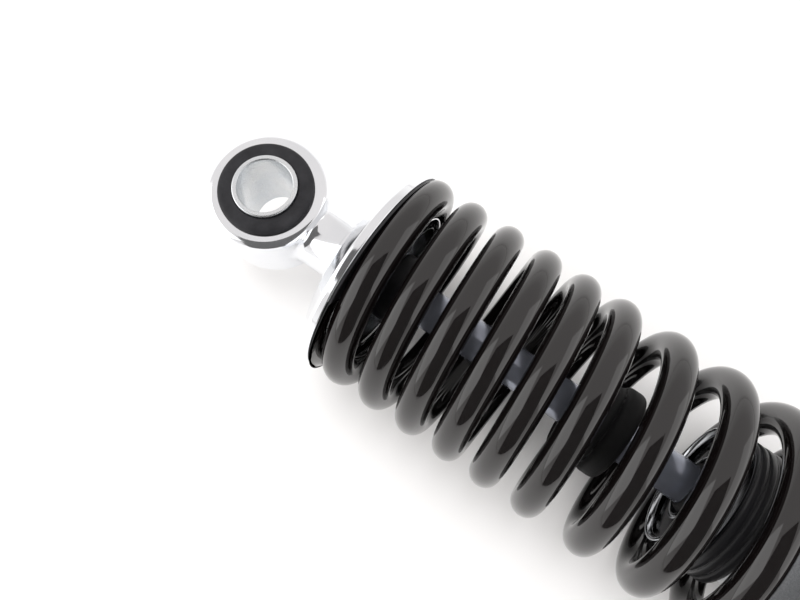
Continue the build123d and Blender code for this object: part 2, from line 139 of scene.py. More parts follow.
def rounded(corners, steps=6):
    """Points along a closed outline whose corners (along, radius, rounding) are rounded.

    A corner at P becomes P + u d (1 - t)^2 + v d t^2, with u and v the directions to its neighbours and d its
    rounding. One more point each side, at 1.4 d, keeps the flat beside it flat when it is shaded.
    """
    corners = np.array(corners, float)
    place, size = corners[:, :2], corners[:, 2:]
    back = np.roll(place, 1, axis=0) - place
    ahead = np.roll(place, -1, axis=0) - place
    back = size * back / np.linalg.norm(back, axis=1, keepdims=True)
    ahead = size * ahead / np.linalg.norm(ahead, axis=1, keepdims=True)
    t = np.linspace(0, 1, steps)
    before = np.concatenate([[1.4], (1 - t) ** 2, [0]])[None, :, None]
    after = np.concatenate([[0], t ** 2, [1.4]])[None, :, None]
    points = (place[:, None] + back[:, None] * before + ahead[:, None] * after).reshape(-1, 2)
    step = np.linalg.norm(points - np.roll(points, 1, axis=0), axis=1)
    return points[step > 0.0001 * mm]


def ring_outline(start, end, inner, outer, edge):
    """The four corners of a plain ring's outline, all with one rounding."""
    return [(start, inner, edge), (end, inner, edge), (end, outer, edge), (start, outer, edge)]


def turned(name, corners, body, bore_x=None, around=144, solid=False):
    """Turns an outline about the shock's axis, or about an eye's bore at bore_x.

    A point (a, r) of the outline goes to (a, r cos, r sin), or about a bore to (bore_x + r cos, r sin, a).
    A solid piece's outline begins and ends on its end faces, which are capped.
    """
    outline = rounded(corners)
    following = np.roll(outline, -1, axis=0)
    if np.sum(outline[:, 0] * following[:, 1] - following[:, 0] * outline[:, 1]) < 0:
        outline = outline[::-1]
    angle = np.linspace(0, 2 * np.pi, around, endpoint=False)
    along = np.repeat(outline[:, :1], around, axis=1)
    across, up = outline[:, 1:] * np.cos(angle), outline[:, 1:] * np.sin(angle)
    if bore_x is None:
        rings = np.stack([along, across, up], axis=-1)
    else:
        rings = np.stack([bore_x + across, up, along], axis=-1)
    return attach(skin(name, rings, closed=not solid), body)


def dress(piece, finish, slot, *replaced):
    """Gives a finished piece its material, and hides the CAD nodes that it stands for. Its slot is not used.
    """
    piece.data.materials.clear()
    piece.data.materials.append(finish)
    if replaced:
        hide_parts(*replaced)


# Bright zinc plate on drawn steel: a soft grey metal, its blue passivation uneven in cloudy patches, with
# the fine marks of facing and drawing. They are drawn 0.25 mm apart, coarser than they are.
zinc_plate, shader, place = new_material("zinc_plated_steel", Metallic=1.0)
clouds = add(shader, "TexNoise", {"Vector": place, "Scale": 1 / (9 * mm), "Detail": 3.0}).outputs["Fac"]
tint = add(shader, "Mix", {0: clouds, 6: srgb("E9E9E7"), 7: srgb("CDD4DB")}, data_type="RGBA").outputs[2]
marks = add(shader, "TexNoise", {"Vector": place, "Scale": 1 / (0.25 * mm), "Detail": 2.0}).outputs["Fac"]
rough = add(shader, "MapRange", {"Value": marks, "To Min": 0.2, "To Max": 0.36}).outputs["Result"]
relief = add(shader, "Bump", {"Height": marks, "Distance": 0.004 * mm, "Strength": 0.6}).outputs["Normal"]
feed(shader, Base_Color=tint, Roughness=rough, Normal=relief)

sleeve_bore_radius = 8 * mm
sleeve_radius = 9.5 * mm
sleeve_edge = 0.45 * mm
sleeve_bodies = {"upper": "upper_mount", "lower": "lower_mount"}
for end, body in sleeve_bodies.items():
    low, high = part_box(f"{end}_sleeve")
    corners = ring_outline(low.z, high.z, sleeve_bore_radius, sleeve_radius, sleeve_edge)
    sleeve = turned(f"{end}_mount_sleeve", corners, body, bore_x=(low.x + high.x) / 2)
    dress(sleeve, zinc_plate, "zinc_steel", f"{end}_sleeve")

# ---- upper and lower bush -------------------------------------------------------------------
# A thick ring of natural rubber, moulded in a two-part tool and pressed into the eye. It stands proud of
# the eye at both faces, and its outer edges are well rounded so that it can be pressed in.


def rubber_compound(name, clean, bloomed):
    """Vulcanised rubber: matte with a fine moulded grain, greyer where bloom has come to the surface."""
    made, shader, place = new_material(name, Specular_IOR_Level=0.3)
    bloom = add(shader, "TexNoise", {"Vector": place, "Scale": 1 / (7 * mm), "Detail": 4.0, "Roughness": 0.6})
    spread = add(shader, "MapRange", {"Value": bloom.outputs["Fac"], "From Min": 0.35, "From Max": 0.7})
    greyed = spread.outputs["Result"]
    tint = add(shader, "Mix", {0: greyed, 6: srgb(clean), 7: srgb(bloomed)}, data_type="RGBA").outputs[2]
    grain = add(shader, "TexNoise", {"Vector": place, "Scale": 1 / (0.35 * mm), "Detail": 3.0}).outputs["Fac"]
    rough = add(shader, "MapRange", {"Value": grain, "To Min": 0.5, "To Max": 0.75}).outputs["Result"]
    relief = add(shader, "Bump", {"Height": grain, "Distance": 0.02 * mm, "Strength": 0.7}).outputs["Normal"]
    feed(shader, Base_Color=tint, Roughness=rough, Normal=relief)
    return made


bush_rubber = rubber_compound("bush_rubber", "1E1E21", "2E2E31")
bush_inner_radius = 9.56 * mm
bush_radius = 14 * mm
bush_bore_edge = 0.4 * mm
bush_shoulder = 1.5 * mm
eye_bodies = {"upper": "rod_assembly", "lower": "damper_body"}
for end, body in eye_bodies.items():
    low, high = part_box(f"{end}_bush")
    corners = [
        (low.z, bush_inner_radius, bush_bore_edge), (high.z, bush_inner_radius, bush_bore_edge),
        (high.z, bush_radius, bush_shoulder), (low.z, bush_radius, bush_shoulder),
    ]
    bush = turned(f"{end}_rubber_bush", corners, body, bore_x=(low.x + high.x) / 2)
    dress(bush, bush_rubber, "black_rubber", f"{end}_bush")

# ---- upper and lower eye --------------------------------------------------------------------
# A steel forging, turned on the neck and polished before it is plated. The upper one screws onto the rod
# and carries the cap on its shoulder; the lower one is welded to the damper's base.

# Decorative chrome on a polished forging: near-white metal, its polish not quite flat, with a faint haze in
# patches and hairline polishing marks. The marks are drawn 0.3 mm apart, coarser than they are.
chrome, shader, place = new_material("bright_chrome_plate", Metallic=1.0)
haze = add(shader, "TexNoise", {"Vector": place, "Scale": 1 / (14 * mm), "Detail": 4.0}).outputs["Fac"]
tint = add(shader, "Mix", {0: haze, 6: srgb("F1F2F4"), 7: srgb("DFE2E6")}, data_type="RGBA").outputs[2]
streaks = add(shader, "Mapping", {"Vector": place, "Scale": (1 / (0.3 * mm), 1 / (5 * mm), 1 / (5 * mm))})
hairlines = add(shader, "TexNoise", {"Vector": streaks.outputs["Vector"], "Scale": 1.0, "Detail": 2.0})
marks = hairlines.outputs["Fac"]
wear = add(shader, "Math", {0: haze, 1: marks}, operation="MULTIPLY").outputs["Value"]
rough = add(shader, "MapRange", {"Value": wear, "From Max": 0.5, "To Min": 0.03, "To Max": 0.16})
waves = add(shader, "TexNoise", {"Vector": place, "Scale": 1 / (6 * mm), "Detail": 1.0}).outputs["Fac"]
swell = add(shader, "Bump", {"Height": waves, "Distance": 0.006 * mm, "Strength": 0.4}).outputs["Normal"]
relief = add(shader, "Bump", {"Height": marks, "Distance": 0.001 * mm, "Strength": 0.5, "Normal": swell})
feed(shader, Base_Color=tint, Roughness=rough.outputs["Result"], Normal=relief.outputs["Normal"])


def forged_copy(node, name, body):
    """A copy of a CAD node, its loose triangles joined and shaded smooth up to edges of 35 degrees."""
    mesh = nodes[node].data.copy()
    made = bpy.data.objects.new(name, mesh)
    bpy.context.scene.collection.objects.link(made)
    joined = bmesh.new()
    joined.from_mesh(mesh)
    bmesh.ops.remove_doubles(joined, verts=joined.verts, dist=0.001 * mm)
    joined.to_mesh(mesh)
    joined.free()
    mesh.shade_smooth()
    mesh.set_sharp_from_angle(angle=math.radians(35))
    shaded = made.modifiers.new("even_shading", "WEIGHTED_NORMAL")
    shaded.keep_sharp = True
    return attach(made, body)


for end, body in eye_bodies.items():
    eye = forged_copy(f"{end}_eye", f"{end}_forged_eye", body)
    dress(eye, chrome, "bright_chrome", f"{end}_eye")

# ---- piston rod -----------------------------------------------------------------------------
# A round steel bar, induction hardened, hard-chromed and ground true. Its thread at the top is hidden in
# the eye, and the seals wipe the rest.

# Hard chrome, centreless ground: a cold grey mirror with hairlines round the bar, drawn 0.2 mm apart, which
# is coarser than the grinding left them. Its slate-blue tint, much darker than the cap's chrome, is partly
# painted reflection: it dims the mirror as the dark coils round it would. The patches between the two tints
# are a film of oil.
hard_chrome, shader, place = new_material("hard_chrome_darkened_as_painted_reflection", Metallic=0.6)
rings = add(shader, "Mapping", {"Vector": place, "Scale": (1 / (0.2 * mm), 1 / (30 * mm), 1 / (30 * mm))})
grinding = add(shader, "TexNoise", {"Vector": rings.outputs["Vector"], "Scale": 1.0, "Detail": 3.0})
lines = grinding.outputs["Fac"]
film = add(shader, "TexNoise", {"Vector": place, "Scale": 1 / (11 * mm), "Detail": 3.0}).outputs["Fac"]
tint = add(shader, "Mix", {0: film, 6: srgb("9A9EAA"), 7: srgb("80848F")}, data_type="RGBA").outputs[2]
rough = add(shader, "MapRange", {"Value": lines, "To Min": 0.1, "To Max": 0.2}).outputs["Result"]
relief = add(shader, "Bump", {"Height": lines, "Distance": 0.0003 * mm, "Strength": 0.4}).outputs["Normal"]
feed(shader, Base_Color=tint, Roughness=rough, Normal=relief)

low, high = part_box("piston_rod")
rod_radius = high.y
thread_radius = 5 * mm
piston_thread_radius = 4 * mm
rod_step_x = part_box("bump_stop_seat")[0].x
piston_step_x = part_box("rebound_stop_plate")[0].x
thread_edge = 0.7 * mm
step_edge, step_root = 0.3 * mm, 0.1 * mm
face_centre_radius = 1 * mm  # where the outline of a solid piece starts and ends on its flat faces
corners = [
    (low.x, face_centre_radius, 0), (low.x, thread_radius, thread_edge),
    (rod_step_x, thread_radius, step_root), (rod_step_x, rod_radius, step_edge),
    (piston_step_x, rod_radius, step_edge), (piston_step_x, piston_thread_radius, step_root),
    (high.x, piston_thread_radius, thread_edge), (high.x, face_centre_radius, 0),
]
bar = turned("chromed_rod", corners, "rod_assembly", around=96, solid=True)
dress(bar, hard_chrome, "hard_chrome", "piston_rod")

# ---- top cap --------------------------------------------------------------------------------
# The cup that the spring pushes against: turned steel, polished and chromed like the eye. The lock nut
# clamps it to the eye's shoulder, and its spigot centres the spring.

low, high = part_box("top_cap")
seat_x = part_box("upper_seat_washer")[0].x
nut_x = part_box("rod_lock_nut")[0].x
cap_radius = high.y
crown_radius = 25 * mm
rim_height = 2.4 * mm
spigot_radius = 23.4 * mm
spigot_wall = 3.4 * mm
seat_film = 0.02 * mm  # keeps the cap's face clear of the washer that turns against it
corners = [
    (low.x, thread_radius, 0.05 * mm), (low.x, crown_radius, 1.3 * mm),
    (seat_x - rim_height, cap_radius, 0.7 * mm), (seat_x - seat_film, cap_radius, 0.4 * mm),
    (seat_x - seat_film, spigot_radius, 0.3 * mm),
    (high.x, spigot_radius, 0.9 * mm), (high.x, spigot_radius - spigot_wall, 0.5 * mm),
    (nut_x, spigot_radius - spigot_wall, 1 * mm), (nut_x, thread_radius, 0.05 * mm),
]
cap = turned("spring_cap", corners, "rod_assembly", around=192)
dress(cap, chrome, "bright_chrome", "top_cap")

# ---- lock nut -------------------------------------------------------------------------------
# A plain steel hexagon nut, zinc plated like the sleeves. It is run up the rod's thread inside the cap, and
# locks the rod and the cap to the eye.

nut = forged_copy("rod_lock_nut", "rod_lock_nut_plated", "rod_assembly")
dress(nut, zinc_plate, "zinc_steel", "rod_lock_nut")

# ---- upper and lower seat washer ------------------------------------------------------------
# A thin ring of black moulded plastic between a seat and the spring's flat end. It lets the spring turn as
# it is pressed, and the upper one shows as a dark line under the cap.

# Moulded glass-filled nylon: satin black, with a spark-eroded grain 0.25 mm across and a few paler flecks
# where the glass comes to the surface.
nylon, shader, place = new_material("glass_filled_nylon", IOR=1.53)
grain = add(shader, "TexNoise", {"Vector": place, "Scale": 1 / (0.25 * mm), "Detail": 2.0}).outputs["Fac"]
flecks = add(shader, "MapRange", {"Value": grain, "From Min": 0.62, "From Max": 0.75}).outputs["Result"]
tint = add(shader, "Mix", {0: flecks, 6: srgb("131316"), 7: srgb("2C2C31")}, data_type="RGBA").outputs[2]
cloud = add(shader, "TexNoise", {"Vector": place, "Scale": 1 / (8 * mm), "Detail": 3.0}).outputs["Fac"]
rough = add(shader, "MapRange", {"Value": cloud, "To Min": 0.34, "To Max": 0.52}).outputs["Result"]
relief = add(shader, "Bump", {"Height": grain, "Distance": 0.008 * mm, "Strength": 0.6}).outputs["Normal"]
feed(shader, Base_Color=tint, Roughness=rough, Normal=relief)

washer_bore_radius = 23.7 * mm
washer_edge = 0.2 * mm
washers = {"upper_seat_washer": "spring_top", "lower_seat_washer": "damper_body"}
for node, body in washers.items():
    low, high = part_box(node)
    corners = ring_outline(low.x, high.x, washer_bore_radius, high.y, washer_edge)
    dress(turned(f"{node}_ring", corners, body), nylon, "black_nylon", node)

# ---- coil spring ----------------------------------------------------------------------------
# Chrome-silicon spring wire, cold coiled with five close turns and eight open ones, its ends closed and
# ground flat, then stove enamelled gloss black.

# Stove enamel over steel wire: a deep brown-black gloss with a slight orange peel 2.5 mm across, dust in the
# film as specks 1.6 mm apart, and a few dull rubs 12 mm long along the wire.
enamel, shader, place = new_material("black_stove_enamel", IOR=1.62)
wire_uv = add(shader, "UVMap", {}, uv_map="along_wire").outputs["UV"]
film = add(shader, "TexNoise", {"Vector": place, "Scale": 1 / (20 * mm), "Detail": 3.0}).outputs["Fac"]
tint = add(shader, "Mix", {0: film, 6: srgb("090707"), 7: srgb("100C0C")}, data_type="RGBA").outputs[2]
rub_place = add(shader, "Mapping", {"Vector": wire_uv, "Scale": (1 / (12 * mm), 1 / (0.6 * mm), 1.0)})
rubs = add(shader, "TexNoise", {"Vector": rub_place.outputs["Vector"], "Scale": 1.0, "Detail": 4.0})
dull = add(shader, "MapRange", {"Value": rubs.outputs["Fac"], "From Min": 0.6, "From Max": 0.8,
                                "To Min": 0.07, "To Max": 0.3})
peel = add(shader, "TexNoise", {"Vector": place, "Scale": 1 / (2.5 * mm), "Detail": 1.0}).outputs["Fac"]
wavy = add(shader, "Bump", {"Height": peel, "Distance": 0.006 * mm, "Strength": 0.5}).outputs["Normal"]
dust = add(shader, "TexVoronoi", {"Vector": place, "Scale": 1 / (1.6 * mm), "Randomness": 1.0})
specks = add(shader, "MapRange", {"Value": dust.outputs["Distance"], "From Max": 0.09,
                                  "To Min": 1.0, "To Max": 0.0}).outputs["Result"]
relief = add(shader, "Bump", {"Height": specks, "Distance": 0.01 * mm, "Strength": 0.5, "Normal": wavy})
feed(shader, Base_Color=tint, Roughness=dull.outputs["Result"], Normal=relief.outputs["Normal"])

low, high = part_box("coil_spring")
spring_start_x, spring_end_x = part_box("upper_seat_washer")[1].x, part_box("lower_seat_washer")[0].x
spring_radius = 33 * mm
wire_radius = 4.5 * mm
helix_radius = spring_radius - wire_radius
tight_turns, open_turns, end_turns = 5, 8, 0.9
first_whole_turn = 0.25
closed_pitch, tight_pitch = 9.15 * mm, 12.35 * mm
end_grinding = 0.5 * mm  # how far the flat ends cut into the last whole turns
rings_per_turn, points_round = 96, 40

first_x = spring_start_x + wire_radius - end_grinding
open_x = first_x + tight_turns * tight_pitch
last_x = spring_end_x - wire_radius + end_grinding
open_turn = first_whole_turn + tight_turns
last_turn = open_turn + open_turns
knot_turns = [first_whole_turn - end_turns, first_whole_turn, open_turn, last_turn, last_turn + end_turns]
knot_x = [first_x - end_turns * closed_pitch, first_x, open_x, last_x, last_x + end_turns * closed_pitch]

# The wire's place along the shock rises evenly between these knots. It is averaged over half a turn, so that
# one pitch runs into the next, and is first carried on past both ends at their own slope.
turn = np.linspace(knot_turns[0], knot_turns[-1], int((knot_turns[-1] - knot_turns[0]) * rings_per_turn))
easing = np.hanning(rings_per_turn // 2 + 1)[1:-1]
longer_turn = np.pad(turn, len(easing) // 2, mode="reflect", reflect_type="odd")
slope = np.diff(knot_x) / np.diff(knot_turns)
straight = np.interp(longer_turn, knot_turns, knot_x)
straight += slope[0] * np.minimum(longer_turn - knot_turns[0], 0)
straight += slope[-1] * np.maximum(longer_turn - knot_turns[-1], 0)
centre_x = np.convolve(straight, easing / easing.sum(), mode="valid")[:len(turn)]

# Ring k is the wire's section at turn k: its centre is (x, R cos, R sin), and it lies in the plane of the
# outward direction (0, cos, sin) and of the direction square to both that and the wire.
angle = 2 * np.pi * turn[:, None]
outward = np.stack([0 * angle, np.cos(angle), np.sin(angle)], axis=-1)
climb = np.gradient(centre_x, 2 * np.pi * turn)[:, None]
wire_length = np.sqrt(climb ** 2 + helix_radius ** 2)
sideways = np.stack([0 * angle + helix_radius, climb * np.sin(angle), -climb * np.cos(angle)], axis=-1)
sideways /= wire_length[..., None]
centre = outward * helix_radius
centre[..., 0] = centre_x[:, None]
round_wire = np.linspace(0, 2 * np.pi, points_round, endpoint=False)[None, :, None]
section = centre + wire_radius * (outward * np.sin(round_wire) + sideways * np.cos(round_wire))
section[..., 0] = np.clip(section[..., 0], spring_start_x, spring_end_x)
spring = skin("coil_spring_wire", section, closed=False)
spring.data.set_sharp_from_angle(angle=math.radians(50))

# The wire's own coordinates: metres along it, and metres round it.
along_wire = np.concatenate([[0], np.cumsum(np.linalg.norm(np.diff(centre[:, 0], axis=0), axis=1))])
vertex_uv = np.stack(np.broadcast_arrays(along_wire[:, None], round_wire[0, :, 0] * wire_radius), axis=-1)
corner_vertex = np.zeros(len(spring.data.loops), np.int32)
spring.data.loops.foreach_get("vertex_index", corner_vertex)
corner_uv = vertex_uv.reshape(-1, 2)[corner_vertex]
spring.data.uv_layers.new(name="along_wire").data.foreach_set("uv", corner_uv.ravel())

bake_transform(spring)
dress(spring, enamel, "black_enamel", "coil_spring")

# ---- bump stop and its seat -----------------------------------------------------------------
# A rubber buffer that slides on the rod and cushions the end of the travel, with one waist moulded round
# it. The seat that it would meet is a moulded nylon cup under the lock nut.

# Far blacker than the bushes' rubber: partly the buffer's own colour, partly painted shade for it, the wiper
# and the seals, which sit deep inside the spring.
shade_darkened_rubber = rubber_compound("rubber_darkened_for_painted_shade", "070708", "0D0D0E")
low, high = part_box("bump_stop")
rod_clearance = 0.04 * mm
bump_radius = high.y
waist_x = (low.x + high.x) / 2
waist_radius = 12 * mm
waist_half, waist_floor_half = 2.6 * mm, 1 * mm
bump_bore, bump_bore_edge, bump_end = rod_radius + rod_clearance, 0.5 * mm, 2.4 * mm
waist_shoulder, waist_root = 1 * mm, 0.6 * mm
corners = [
    (low.x, bump_bore, bump_bore_edge), (high.x, bump_bore, bump_bore_edge),
    (high.x, bump_radius, bump_end), (waist_x + waist_half, bump_radius, waist_shoulder),
    (waist_x + waist_floor_half, waist_radius, waist_root),
    (waist_x - waist_floor_half, waist_radius, waist_root),
    (waist_x - waist_half, bump_radius, waist_shoulder), (low.x, bump_radius, bump_end),
]
dress(turned("bump_stop_buffer", corners, "bump_stop"), shade_darkened_rubber, "black_rubber", "bump_stop")

low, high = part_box("bump_stop_seat")
hub_radius = 10.5 * mm
flange = 3 * mm
flange_edge = 0.8 * mm
corners = [
    (low.x, rod_radius, 0.3 * mm), (high.x, rod_radius, 0.3 * mm),
    (high.x, high.y, flange_edge), (high.x - flange, high.y, flange_edge),
    (high.x - flange, hub_radius, 0.9 * mm), (low.x, hub_radius, 0.6 * mm),
]
dress(turned("bump_stop_cup", corners, "rod_assembly"), nylon, "black_nylon", "bump_stop_seat")

# ---- damper head ----------------------------------------------------------------------------
# A pressed and plated cap closes the tube over the seal. Its rim is rolled, its face is dished, and a
# raised ring round the middle holds the wiper, a rubber lip that keeps dirt off the seal.

low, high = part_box("head_cap")
tube_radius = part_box("damper_tube")[1].y
head_radius = high.y
dish_depth, plate_thickness = 2.2 * mm, 2 * mm
face_x = low.x + dish_depth
plate_x = face_x + plate_thickness
wiper_radius = 8.6 * mm
collar_height = 0.6 * mm
collar_top_x = face_x - collar_height
rim_width = 1.8 * mm
rim_inner_radius = head_radius - rim_width
# The outline goes up the skirt, over the rolled rim, down into the dish, over the raised ring and through
# the wiper's hole to the back of the plate.
corners = [
    (high.x, tube_radius, 0.1 * mm), (high.x, head_radius, 0.4 * mm),
    (low.x + 1.5 * mm, head_radius, 0.3 * mm), (low.x, head_radius - 0.5 * mm, 0.4 * mm),
    (low.x, rim_inner_radius + 0.4 * mm, 0.3 * mm), (low.x + 0.9 * mm, rim_inner_radius, 0.3 * mm),
    (face_x - 0.6 * mm, rim_inner_radius - 0.2 * mm, 0.2 * mm),
    (face_x, rim_inner_radius - 1 * mm, 0.4 * mm), (face_x, wiper_radius + 1.3 * mm, 0.4 * mm),
    (collar_top_x, wiper_radius + 0.7 * mm, 0.25 * mm), (collar_top_x, wiper_radius, 0.1 * mm),
    (plate_x, wiper_radius, 0.1 * mm), (plate_x, tube_radius, 0.1 * mm),
]
head = turned("damper_head", corners, "damper_body", around=192)

# Chrome on the rolled rim, the skirt and the raised ring. The dish between them is painted near-black and
# still glossy: a painted reflection of the dark coils that its chrome would mirror. The finish changes over
# 0.3 mm at each edge of the dish, by the distance off the shock's axis.
head_finish, shader, place = new_material("chromed_head_with_painted_dark_dish", Metallic=1.0)
off_axis = add(shader, "Mapping", {"Vector": place, "Scale": (0.0, 1.0, 1.0)}).outputs["Vector"]
radius = add(shader, "VectorMath", {0: off_axis}, operation="LENGTH").outputs["Value"]
fade = 0.3 * mm
collar_edge = wiper_radius + 1.2 * mm
outside = add(shader, "MapRange", {"Value": radius, "From Min": rim_inner_radius - fade,
                                   "From Max": rim_inner_radius}).outputs["Result"]
within = add(shader, "MapRange", {"Value": radius, "From Min": collar_edge + fade,
                                  "From Max": collar_edge}).outputs["Result"]
bright = add(shader, "Math", {0: outside, 1: within}, operation="ADD").outputs["Value"]
smear = add(shader, "TexNoise", {"Vector": place, "Scale": 1 / (4 * mm), "Detail": 4.0}).outputs["Fac"]
black = add(shader, "Mix", {0: smear, 6: srgb("17171B"), 7: srgb("2B2C33")}, data_type="RGBA").outputs[2]
tint = add(shader, "Mix", {0: bright, 6: black, 7: srgb("BFC2C6")}, data_type="RGBA").outputs[2]
rough = add(shader, "MapRange", {"Value": smear, "To Min": 0.05, "To Max": 0.22}).outputs["Result"]
relief = add(shader, "Bump", {"Height": smear, "Distance": 0.01 * mm, "Strength": 0.4}).outputs["Normal"]
feed(shader, Base_Color=tint, Roughness=rough, Normal=relief)
dress(head, head_finish, "bright_chrome", "head_cap")

low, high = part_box("dust_wiper")
lip_radius = rod_radius + rod_clearance
lip_wall, lip_root = 0.6 * mm, 1.8 * mm
shoulder_x = face_x + 0.6 * mm
corners = [
    (low.x, lip_radius, 0.1 * mm), (low.x, lip_radius + lip_wall, 0.2 * mm),
    (shoulder_x, lip_radius + lip_root, 0.3 * mm), (shoulder_x, wiper_radius, 0.15 * mm),
    (high.x, wiper_radius, 0.1 * mm), (high.x, lip_radius, 0.1 * mm),
]
dress(turned("wiper_lip", corners, "damper_body"), shade_darkened_rubber, "black_rubber", "dust_wiper")

# ---- damper tube and base -------------------------------------------------------------------
# Drawn steel tube, closed at the bottom by a pressed cap that is welded on and carries the lower eye's neck
# on a second weld. A groove is turned in it for the snap ring. Tube, cap and welds are sprayed silver.

# Silver metallic paint: fine aluminium flakes 0.2 mm across catch the light one by one under clear
# lacquer, over a soft spray texture.
silver, shader, place = new_material("silver_metallic_paint", Metallic=0.5, Coat_Weight=0.6,
                                     Coat_Roughness=0.08)
flakes = add(shader, "TexVoronoi", {"Vector": place, "Scale": 1 / (0.2 * mm)}).outputs["Color"]
glint = add(shader, "SeparateColor", {"Color": flakes}).outputs["Red"]
tint = add(shader, "Mix", {0: glint, 6: srgb("9C9FA3"), 7: srgb("BEC1C4")}, data_type="RGBA").outputs[2]
rough = add(shader, "MapRange", {"Value": glint, "To Min": 0.28, "To Max": 0.45}).outputs["Result"]
spray = add(shader, "TexNoise", {"Vector": place, "Scale": 1 / (1.5 * mm), "Detail": 2.0}).outputs["Fac"]
relief = add(shader, "Bump", {"Height": spray, "Distance": 0.006 * mm, "Strength": 0.5}).outputs["Normal"]
feed(shader, Base_Color=tint, Roughness=rough, Normal=relief)

low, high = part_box("damper_tube")
tube_bore_radius = tube_radius - 1.5 * mm
ring_low, ring_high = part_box("seat_stop_ring")
groove_radius = tube_radius - 0.6 * mm
tube_edge, groove_edge = 0.2 * mm, 0.05 * mm
corners = [
    (low.x, tube_bore_radius, tube_edge), (low.x, tube_radius, tube_edge),
    (ring_low.x, tube_radius, groove_edge), (ring_low.x, groove_radius, groove_edge),
    (ring_high.x, groove_radius, groove_edge), (ring_high.x, tube_radius, groove_edge),
    (high.x, tube_radius, tube_edge), (high.x, tube_bore_radius, tube_edge),
]
dress(turned("body_tube", corners, "damper_body"), silver, "silver_paint", "damper_tube")

low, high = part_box("base_cap")
plate_start_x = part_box("damper_tube")[1].x
corners = [
    (low.x, face_centre_radius, 0), (low.x, tube_bore_radius, 0.5 * mm),
    (plate_start_x, tube_bore_radius, 0.1 * mm), (plate_start_x, tube_radius, 0.1 * mm),
    (high.x, tube_radius, 1 * mm), (high.x, face_centre_radius, 0),
]
base = turned("tube_base", corners, "damper_body", solid=True)
dress(base, silver, "silver_paint", "base_cap")


def weld_bead(name, bead_x, seam_radius, width, height, ripple_pitch):
    """A weld round the shock: a flattened ring whose height and place ripple as the puddle was moved on.

    At angle a and section angle b, x = bead_x + width / 2 (cos b + 0.2 wave), and the radius is
    seam_radius + height (sin b) (1 + 0.18 wave). The wave is sin(n a + 0.5 sin(n a)), a rounded saw of n
    ripples.
    """
    ripples = round(2 * np.pi * seam_radius / ripple_pitch)
    a = np.linspace(0, 2 * np.pi, ripples * 8, endpoint=False)[:, None]
    b = np.linspace(0, 2 * np.pi, 16, endpoint=False)[None, :]
    wave = np.sin(ripples * a + 0.5 * np.sin(ripples * a))
    x = bead_x + width / 2 * (np.cos(b) + 0.2 * wave)
    r = seam_radius + height * np.sin(b) * (1 + 0.18 * wave)
    rings = np.stack([x, r * np.cos(a), r * np.sin(a)], axis=-1)
    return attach(skin(name, rings, closed=True), "damper_body")


ripple_pitch = 1.6 * mm
weld_sink = 0.1 * mm  # how far a bead's middle lies under or over the surface it is laid on
neck_foot_radius = 15.2 * mm
seam = weld_bead("base_weld", plate_start_x, tube_radius - weld_sink, 3 * mm, 0.9 * mm, ripple_pitch)
dress(seam, silver, "silver_paint")
seam = weld_bead("lower_eye_weld", high.x + weld_sink, neck_foot_radius, 2.6 * mm, 1 * mm, ripple_pitch)
dress(seam, silver, "silver_paint")

# ---- spring guide ring ----------------------------------------------------------------------
# A moulded black nylon ring pressed onto the tube just under the head. Its ribs keep the spring off the
# tube when the shock is compressed.

low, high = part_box("spring_guide_ring")
ring_radius = high.y
ribs = 3
rib_depth = 0.25 * mm
rib_pitch = (high.x - low.x) / ribs
rib_flank = 0.25  # share of a rib's pitch that each of its flanks takes
rib_root, rib_crest = 0.2 * mm, 0.35 * mm
corners = [(high.x, tube_radius, rib_root), (low.x, tube_radius, rib_root)]
for rib in range(ribs):
    rib_x = low.x + rib * rib_pitch
    corners.append((rib_x, ring_radius - rib_depth, rib_root))
    corners.append((rib_x + rib_flank * rib_pitch, ring_radius, rib_crest))
    corners.append((rib_x + (1 - rib_flank) * rib_pitch, ring_radius, rib_crest))
corners.append((high.x, ring_radius - rib_depth, rib_root))
guide_ring = turned("ribbed_guide_ring", corners, "damper_body", around=192)
dress(guide_ring, nylon, "black_nylon", "spring_guide_ring")

# ---- lower spring seat and its snap ring ----------------------------------------------------
# A turned steel dish slid onto the tube, enamelled with the spring. It stands against a snap ring of
# square steel wire, sprung into a groove of the tube.

# The spring's stove enamel on turned steel: the same deep gloss and orange peel, its sheen uneven in broad
# patches in place of rubs.
seat_enamel, shader, place = new_material("black_enamel_on_turned_steel", IOR=1.62)
film = add(shader, "TexNoise", {"Vector": place, "Scale": 1 / (16 * mm), "Detail": 3.0}).outputs["Fac"]
tint = add(shader, "Mix", {0: film, 6: srgb("090707"), 7: srgb("100C0C")}, data_type="RGBA").outputs[2]
rough = add(shader, "MapRange", {"Value": film, "To Min": 0.06, "To Max": 0.22}).outputs["Result"]
peel = add(shader, "TexNoise", {"Vector": place, "Scale": 1 / (2.5 * mm), "Detail": 1.0}).outputs["Fac"]
relief = add(shader, "Bump", {"Height": peel, "Distance": 0.006 * mm, "Strength": 0.5}).outputs["Normal"]
feed(shader, Base_Color=tint, Roughness=rough, Normal=relief)

low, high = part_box("lower_spring_seat")
dish_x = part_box("lower_seat_washer")[1].x
seat_plate, lip_height, hub_flare = 3 * mm, 3 * mm, 1.5 * mm
plate_end_x = dish_x + seat_plate
lip_x = dish_x - lip_height
dish_radius = 33.15 * mm
hub_radius = 22 * mm
corners = [
    (low.x, tube_radius, 0.2 * mm), (low.x, spigot_radius, 0.9 * mm), (dish_x, spigot_radius, 0.4 * mm),
    (dish_x, dish_radius, 0.5 * mm), (lip_x, dish_radius, 0.4 * mm), (lip_x, high.y, 0.7 * mm),
    (plate_end_x, high.y, 1.4 * mm), (plate_end_x, hub_radius + hub_flare, 1 * mm),
    (plate_end_x + hub_flare, hub_radius, 0.8 * mm), (high.x, hub_radius, 0.9 * mm),
    (high.x, tube_radius, 0.2 * mm),
]
seat = turned("lower_spring_dish", corners, "damper_body", around=192)
dress(seat, seat_enamel, "black_enamel", "lower_spring_seat")

